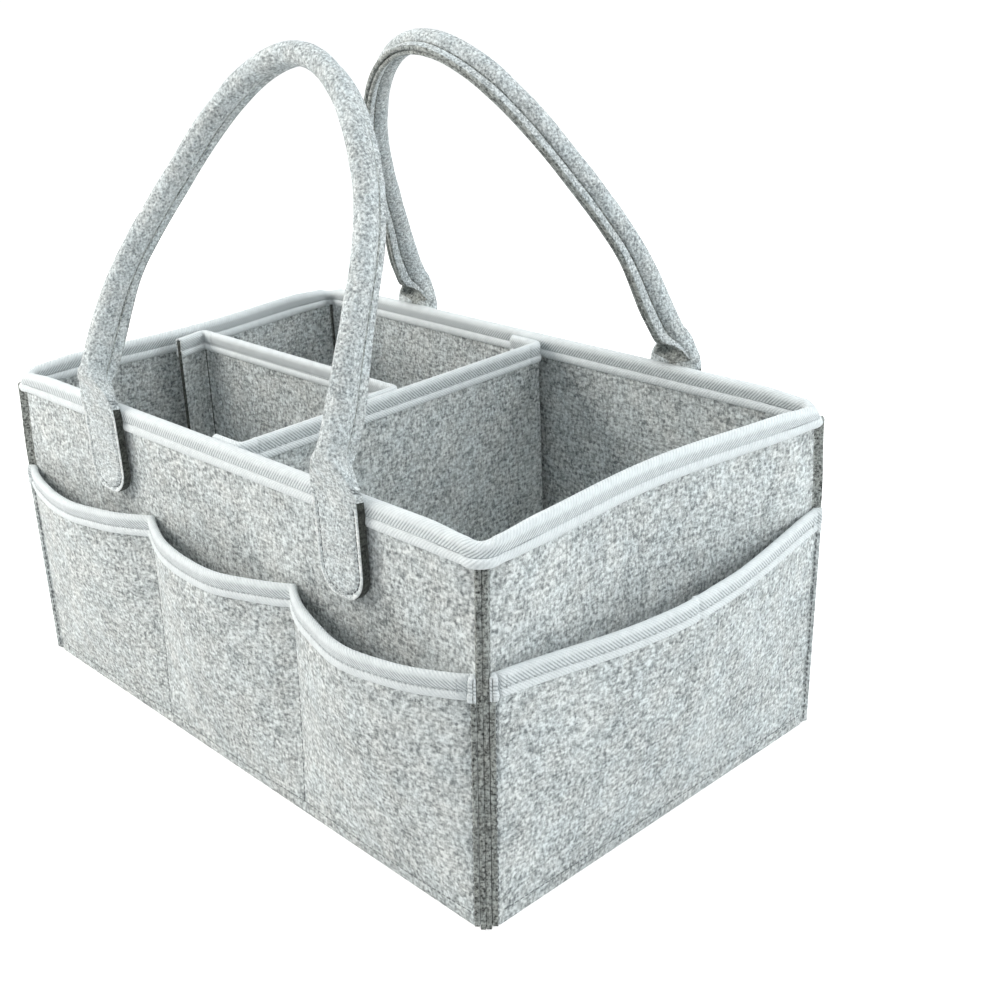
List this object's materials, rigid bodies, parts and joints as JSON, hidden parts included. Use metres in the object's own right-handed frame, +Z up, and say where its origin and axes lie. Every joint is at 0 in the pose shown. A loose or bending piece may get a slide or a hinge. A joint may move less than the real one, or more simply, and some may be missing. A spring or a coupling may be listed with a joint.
{
  "type": "felt diaper caddy",
  "caption": "Open-topped felt caddy with bulging outside pockets, tape-bound edges, two rolled swing handles and lift-out dividers on hook strips.",
  "frame": {"origin": "middle of the footprint, on the floor", "axes": "+X along the length to the right end wall, +Y to the back wall, +Z up"},
  "size_m": [0.4216, 0.2656, 0.3574],
  "materials": {
    "body_felt": "grey melange felt",
    "handle_felt": "grey melange felt, rolled and sewn",
    "binding_tape": "pale twill tape",
    "filler_cord": "soft filler cord",
    "hook_tape": "nylon hook tape"
  },
  "bodies": {
    "caddy": {"base_panel": "body_felt", "front_wall": "body_felt", "back_wall": "body_felt", "left_end_wall": "body_felt", "right_end_wall": "body_felt", "rim_binding": "binding_tape", "front_pocket_panel": "body_felt", "back_pocket_panel": "body_felt", "left_end_pocket_panel": "body_felt", "right_end_pocket_panel": "body_felt", "front_pocket_binding": "binding_tape", "back_pocket_binding": "binding_tape", "left_end_pocket_binding": "binding_tape", "right_end_pocket_binding": "binding_tape", "front_left_tab": "handle_felt", "front_right_tab": "handle_felt", "back_left_tab": "handle_felt", "back_right_tab": "handle_felt"},
    "front_handle": {"front_handle_sleeve": "handle_felt", "front_handle_core": "filler_cord"},
    "back_handle": {"back_handle_sleeve": "handle_felt", "back_handle_core": "filler_cord"},
    "cross_divider_body": {"cross_divider": "body_felt", "cross_divider_binding": "binding_tape", "cross_back_hooks": "hook_tape", "cross_front_hooks": "hook_tape"},
    "long_divider_body": {"long_divider": "body_felt", "long_divider_binding": "binding_tape", "long_left_hooks": "hook_tape", "long_right_hooks": "hook_tape"}
  },
  "joints": [
    {"name": "front_handle_swing", "type": "hinge", "parent": "caddy", "child": "front_handle", "pos_m": [0, -0.1196, 0.182], "axis": [1, 0, 0], "range_deg": [-8.5, 120]},
    {"name": "back_handle_swing", "type": "hinge", "parent": "caddy", "child": "back_handle", "pos_m": [0, 0.1196, 0.182], "axis": [-1, 0, 0], "range_deg": [-8.5, 120]},
    {"name": "cross_divider_lift", "type": "slide", "parent": "caddy", "child": "cross_divider_body", "axis": [0, 0, 1], "range_m": [0, 0.135]},
    {"name": "long_divider_lift", "type": "slide", "parent": "caddy", "child": "long_divider_body", "axis": [0, 0, 1], "range_m": [0, 0.135]}
  ]
}
